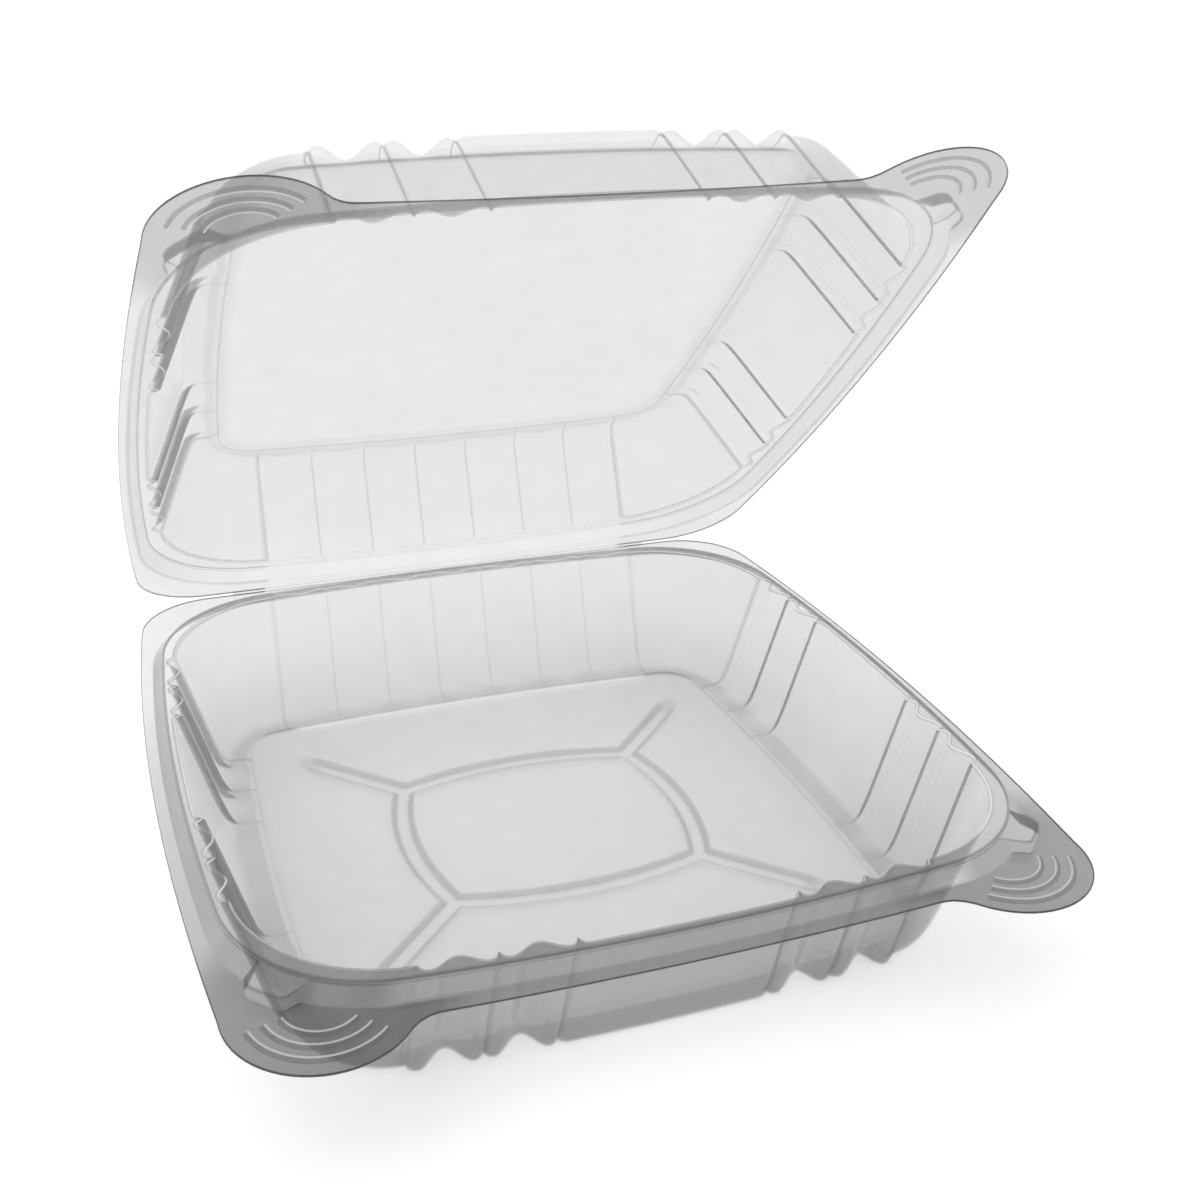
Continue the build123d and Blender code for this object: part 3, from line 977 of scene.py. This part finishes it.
# Painted pool of light: the floor's glow for camera, glossy and transmission rays is strongest
# near a point just behind the pack's centre and fades to an even level far out, lifting the shadow
# under the pack.
LIGHT_POOL_CENTRE = (0.0, 0.04, 0.0)
FLOOR_NEAR = 0.03
FLOOR_FAR = 0.2
FLOOR_GLOW = (0.42, 0.14)
KEY_PLACE = (-0.7, -0.5, 1.1)
KEY_AIM = (0, 0, 0.05)
KEY_SIZE = 0.7
KEY_POWER = 2.5
CAMERA_PLACE = (-0.11701, -0.33691, 0.23325)
CAMERA_AZ, CAMERA_EL, CAMERA_ROLL = -18.93, 18.42, 0.61
CAMERA_LENS = 44.80
CAMERA_SENSOR = 36.0
CAMERA_CLIP = (0.01, 50)
CAMERA_SHIFT = (0.0447, -0.1412)

scene = bpy.context.scene
scene.view_settings.view_transform = "Standard"
scene.cycles.transparent_max_bounces = 40
scene.cycles.max_bounces = 4
scene.cycles.diffuse_bounces = 1
scene.cycles.glossy_bounces = 1

floor_mesh = bpy.data.meshes.new("floor")
floor_corners = [(x * FLOOR_HALF, y * FLOOR_HALF, FLOOR_Z) for x, y in (
    (-1, -1), (1, -1), (1, 1), (-1, 1))]
floor_mesh.from_pydata(floor_corners, [], [(0, 1, 2, 3)])
floor = bpy.data.objects.new("floor", floor_mesh)
scene.collection.objects.link(floor)
floor_paint = bpy.data.materials.new("floor_paint")
floor_paint.use_nodes = True
floor_tree = floor_paint.node_tree
floor_shader = floor_tree.nodes["Principled BSDF"]
floor_shader.inputs["Base Color"].default_value = FLOOR_WHITE
floor_shader.inputs["Roughness"].default_value = 1.0
floor_shader.inputs["Specular IOR Level"].default_value = 0.0
light_path = floor_tree.nodes.new("ShaderNodeLightPath")
floor_seen = Shade(floor_tree, light_path.outputs["Is Camera Ray"])
for ray in ("Is Glossy Ray", "Is Transmission Ray"):
    floor_seen = floor_seen + Shade(floor_tree, light_path.outputs[ray])
# Painted pool of light round that point, fading from the near to the far glow with distance.
floor_place = floor_seen.node("ShaderNodeTexCoord", "Object")
floor_reach = floor_place.node(
    "ShaderNodeVectorMath", "Value", ((0, floor_place), (1, LIGHT_POOL_CENTRE)), operation="DISTANCE")
floor_near = floor_reach.node("ShaderNodeMapRange", 0, (
    (0, floor_reach), (1, FLOOR_NEAR), (2, FLOOR_FAR), (3, FLOOR_GLOW[0]), (4, FLOOR_GLOW[1])))
floor_glow = (floor_seen.clamp() * floor_near).mix((0, 0, 0), (1, 1, 1))
floor_tree.links.new(floor_glow.socket, floor_shader.inputs["Emission Color"])
floor_shader.inputs["Emission Strength"].default_value = 1.0
floor_mesh.materials.append(floor_paint)

world = bpy.data.worlds.new("studio")
scene.world = world
world.use_nodes = True
world.node_tree.nodes["Background"].inputs["Color"].default_value = (1, 1, 1, 1)
world.node_tree.nodes["Background"].inputs["Strength"].default_value = 1.0


def soft_lamp(name, place, aim, size, power):
    """Square area lamp at a place, turned to its aim."""
    lamp = bpy.data.lights.new(name, "AREA")
    lamp.shape = "SQUARE"
    lamp.size = size
    lamp.energy = power
    obj = bpy.data.objects.new(name, lamp)
    back = np.array(place) - np.array(aim)
    back = back / np.linalg.norm(back)
    right = np.cross((0, 0, 1.0), back)
    right = right / np.linalg.norm(right)
    up = np.cross(back, right)
    spin = Matrix([[right[k], up[k], back[k]] for k in range(3)]).to_4x4()
    obj.matrix_world = Matrix.Translation(place) @ spin
    scene.collection.objects.link(obj)


soft_lamp("key", KEY_PLACE, KEY_AIM, KEY_SIZE, KEY_POWER)

az, el, roll = (math.radians(v) for v in (CAMERA_AZ, CAMERA_EL, CAMERA_ROLL))
back = np.array((math.sin(az) * math.cos(el), -math.cos(az) * math.cos(el), math.sin(el)))
right = np.cross(-back, (0, 0, 1.0))
right = right / np.linalg.norm(right)
up = np.cross(right, -back)
tilted_right = math.cos(roll) * right + math.sin(roll) * up
tilted_up = -math.sin(roll) * right + math.cos(roll) * up
camera_data = bpy.data.cameras.new("camera")
camera_data.sensor_fit = "HORIZONTAL"
camera_data.sensor_width = CAMERA_SENSOR
camera_data.lens = CAMERA_LENS
camera_data.shift_x, camera_data.shift_y = CAMERA_SHIFT
camera_data.clip_start, camera_data.clip_end = CAMERA_CLIP
camera = bpy.data.objects.new("camera", camera_data)
basis = Matrix([[tilted_right[k], tilted_up[k], back[k]] for k in range(3)]).to_4x4()
camera.matrix_world = Matrix.Translation(CAMERA_PLACE) @ basis
scene.collection.objects.link(camera)
scene.camera = camera
